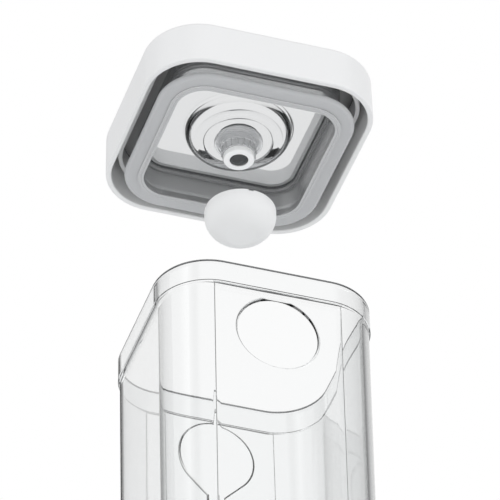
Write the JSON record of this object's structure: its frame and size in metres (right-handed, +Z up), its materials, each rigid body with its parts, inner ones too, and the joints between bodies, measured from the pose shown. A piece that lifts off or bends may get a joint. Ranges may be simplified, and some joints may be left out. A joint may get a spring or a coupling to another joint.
{
  "type": "vacuum seal canister",
  "caption": "Square clear food canister with a white vacuum lid shown lifted off, a moulded pump well, a release valve and a domed filter cap.",
  "frame": {"origin": "middle of the canister's base, on the surface it stands on", "axes": "+Z up through the canister, lid and cap; -Y towards the front wall with the round recess"},
  "size_m": [0.126, 0.126, 0.348],
  "materials": {
    "canister": "clear polished",
    "lid_frame": "white satin",
    "lid_plug": "grey satin",
    "lid_gasket": "pale grey silicone",
    "lid_window": "clear polished",
    "valve_housing": "clear polished",
    "lock_ring": "clear polished",
    "nozzle_seal": "pale silicone",
    "valve_core": "white satin",
    "valve_disc": "pale silicone",
    "filter_cap": "white silicone"
  },
  "bodies": {
    "canister": {"canister": "canister"},
    "lid": {"lid_frame": "lid_frame", "lid_plug": "lid_plug", "lid_gasket": "lid_gasket", "lid_window": "lid_window", "valve_housing": "valve_housing", "lock_ring": "lock_ring", "nozzle_seal": "nozzle_seal", "valve_core": "valve_core"},
    "valve": {"valve_disc": "valve_disc"},
    "cap": {"filter_cap": "filter_cap"}
  },
  "joints": [
    {"name": "lid_lift", "type": "slide", "parent": "canister", "child": "lid", "axis": [0, 0, 1], "range_m": [-0.1415, 0]},
    {"name": "valve_release", "type": "slide", "parent": "lid", "child": "valve", "axis": [0, 0, 1], "range_m": [0, 0.002]},
    {"name": "cap_push_on", "type": "slide", "parent": "lid", "child": "cap", "axis": [0, 0, 1], "range_m": [0, 0.049]}
  ]
}
